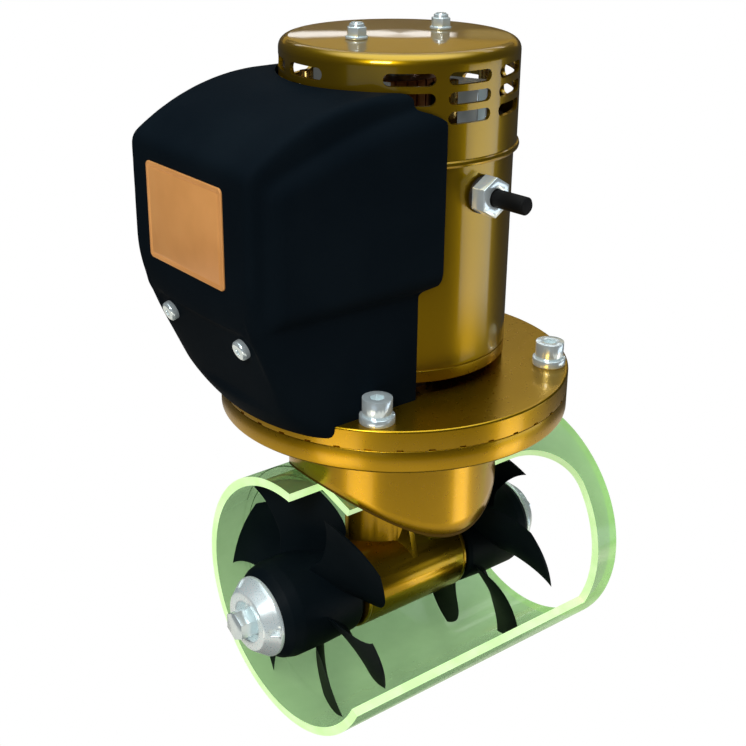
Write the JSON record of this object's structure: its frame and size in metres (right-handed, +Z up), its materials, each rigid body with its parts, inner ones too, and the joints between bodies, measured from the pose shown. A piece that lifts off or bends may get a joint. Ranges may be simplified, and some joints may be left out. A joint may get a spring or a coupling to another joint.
{
  "type": "bow thruster",
  "caption": "Electric tunnel thruster: vertical motor with control cover on a saddle bracket, bevel gear leg and two propellers in a cut-open tunnel.",
  "frame": {"origin": "where the vertical motor axis crosses the tunnel axis", "axes": "+Z up along the motor axis; +X along the tunnel and the propeller shaft, away from the control cover; -Y towards the side on which the tunnel is cut open"},
  "size_m": [0.2162, 0.1708, 0.349],
  "materials": {
    "tunnel_laminate": "translucent green glass-fibre laminate, sawn edges",
    "gold_paint": "gloss gold paint",
    "bronze": "gold painted bronze casting",
    "rubber": "black rubber",
    "bright_steel": "bright zinc-plated or stainless steel",
    "steel": "machined steel",
    "copper": "bare copper",
    "brass": "turned brass",
    "carbon": "pressed carbon",
    "insulator": "dark moulded insulator",
    "navy_plastic": "dark navy satin composite",
    "zinc": "cast zinc",
    "black_plastic": "near-black satin moulding",
    "label": "bare copper-coloured plate"
  },
  "bodies": {
    "frame": {"bearing_cap_far": "bronze", "bearing_cap_near": "bronze", "brush_holders": "bright_steel", "brush_posts": "brass", "brush_ring": "insulator", "bus_bars": "copper", "cap_nuts": "bright_steel", "cap_studs": "bright_steel", "cap_washers": "bright_steel", "carbon_brushes": "carbon", "cover": "black_plastic", "cover_pillars": "black_plastic", "cover_screws": "bright_steel", "drive_end_shield": "bronze", "field_coils": "copper", "field_poles": "steel", "flange_screws": "bright_steel", "flange_seal": "rubber", "gear_leg": "bronze", "label_plate": "label", "leg_bearings": "steel", "leg_bolts": "bright_steel", "leg_gasket": "rubber", "leg_seal": "rubber", "lock_washers": "bright_steel", "main_fuse": "insulator", "motor_bearings": "steel", "motor_foot": "gold_paint", "motor_tube": "gold_paint", "relay_carrier": "steel", "relays": "insulator", "saddle_bracket": "gold_paint", "saddle_gasket": "rubber", "shaft_bearings": "steel", "shaft_seals": "rubber", "terminal_bush": "insulator", "terminal_nut": "bright_steel", "terminal_stud": "brass", "tunnel": "tunnel_laminate", "vent_cap": "gold_paint"},
    "motor_rotor": {"armature_shaft": "steel", "armature_core": "steel", "armature_windings": "copper", "commutator": "copper", "motor_inner_races": "steel", "coupling_upper": "steel", "coupling_spider": "rubber", "coupling_lower": "steel", "drive_shaft": "steel", "leg_inner_races": "steel", "bevel_pinion": "steel"},
    "propeller_line": {"propeller_shaft": "steel", "bevel_gear": "steel", "propeller_near": "navy_plastic", "propeller_far": "navy_plastic", "drive_pins": "bright_steel", "anode_near": "zinc", "anode_far": "zinc", "propeller_nuts": "bright_steel", "shaft_inner_races": "steel"}
  },
  "joints": [
    {"name": "rotor_spin", "type": "hinge", "parent": "frame", "child": "motor_rotor", "pos_m": [0, 0, 0.17], "axis": [0, 0, 1], "continuous": true},
    {"name": "propeller_spin", "type": "hinge", "parent": "frame", "child": "propeller_line", "pos_m": [0, 0, 0], "axis": [1, 0, 0], "continuous": true}
  ],
  "couplings": [
    {"joint": "propeller_spin", "follows": "rotor_spin", "ratio": -0.66667}
  ]
}
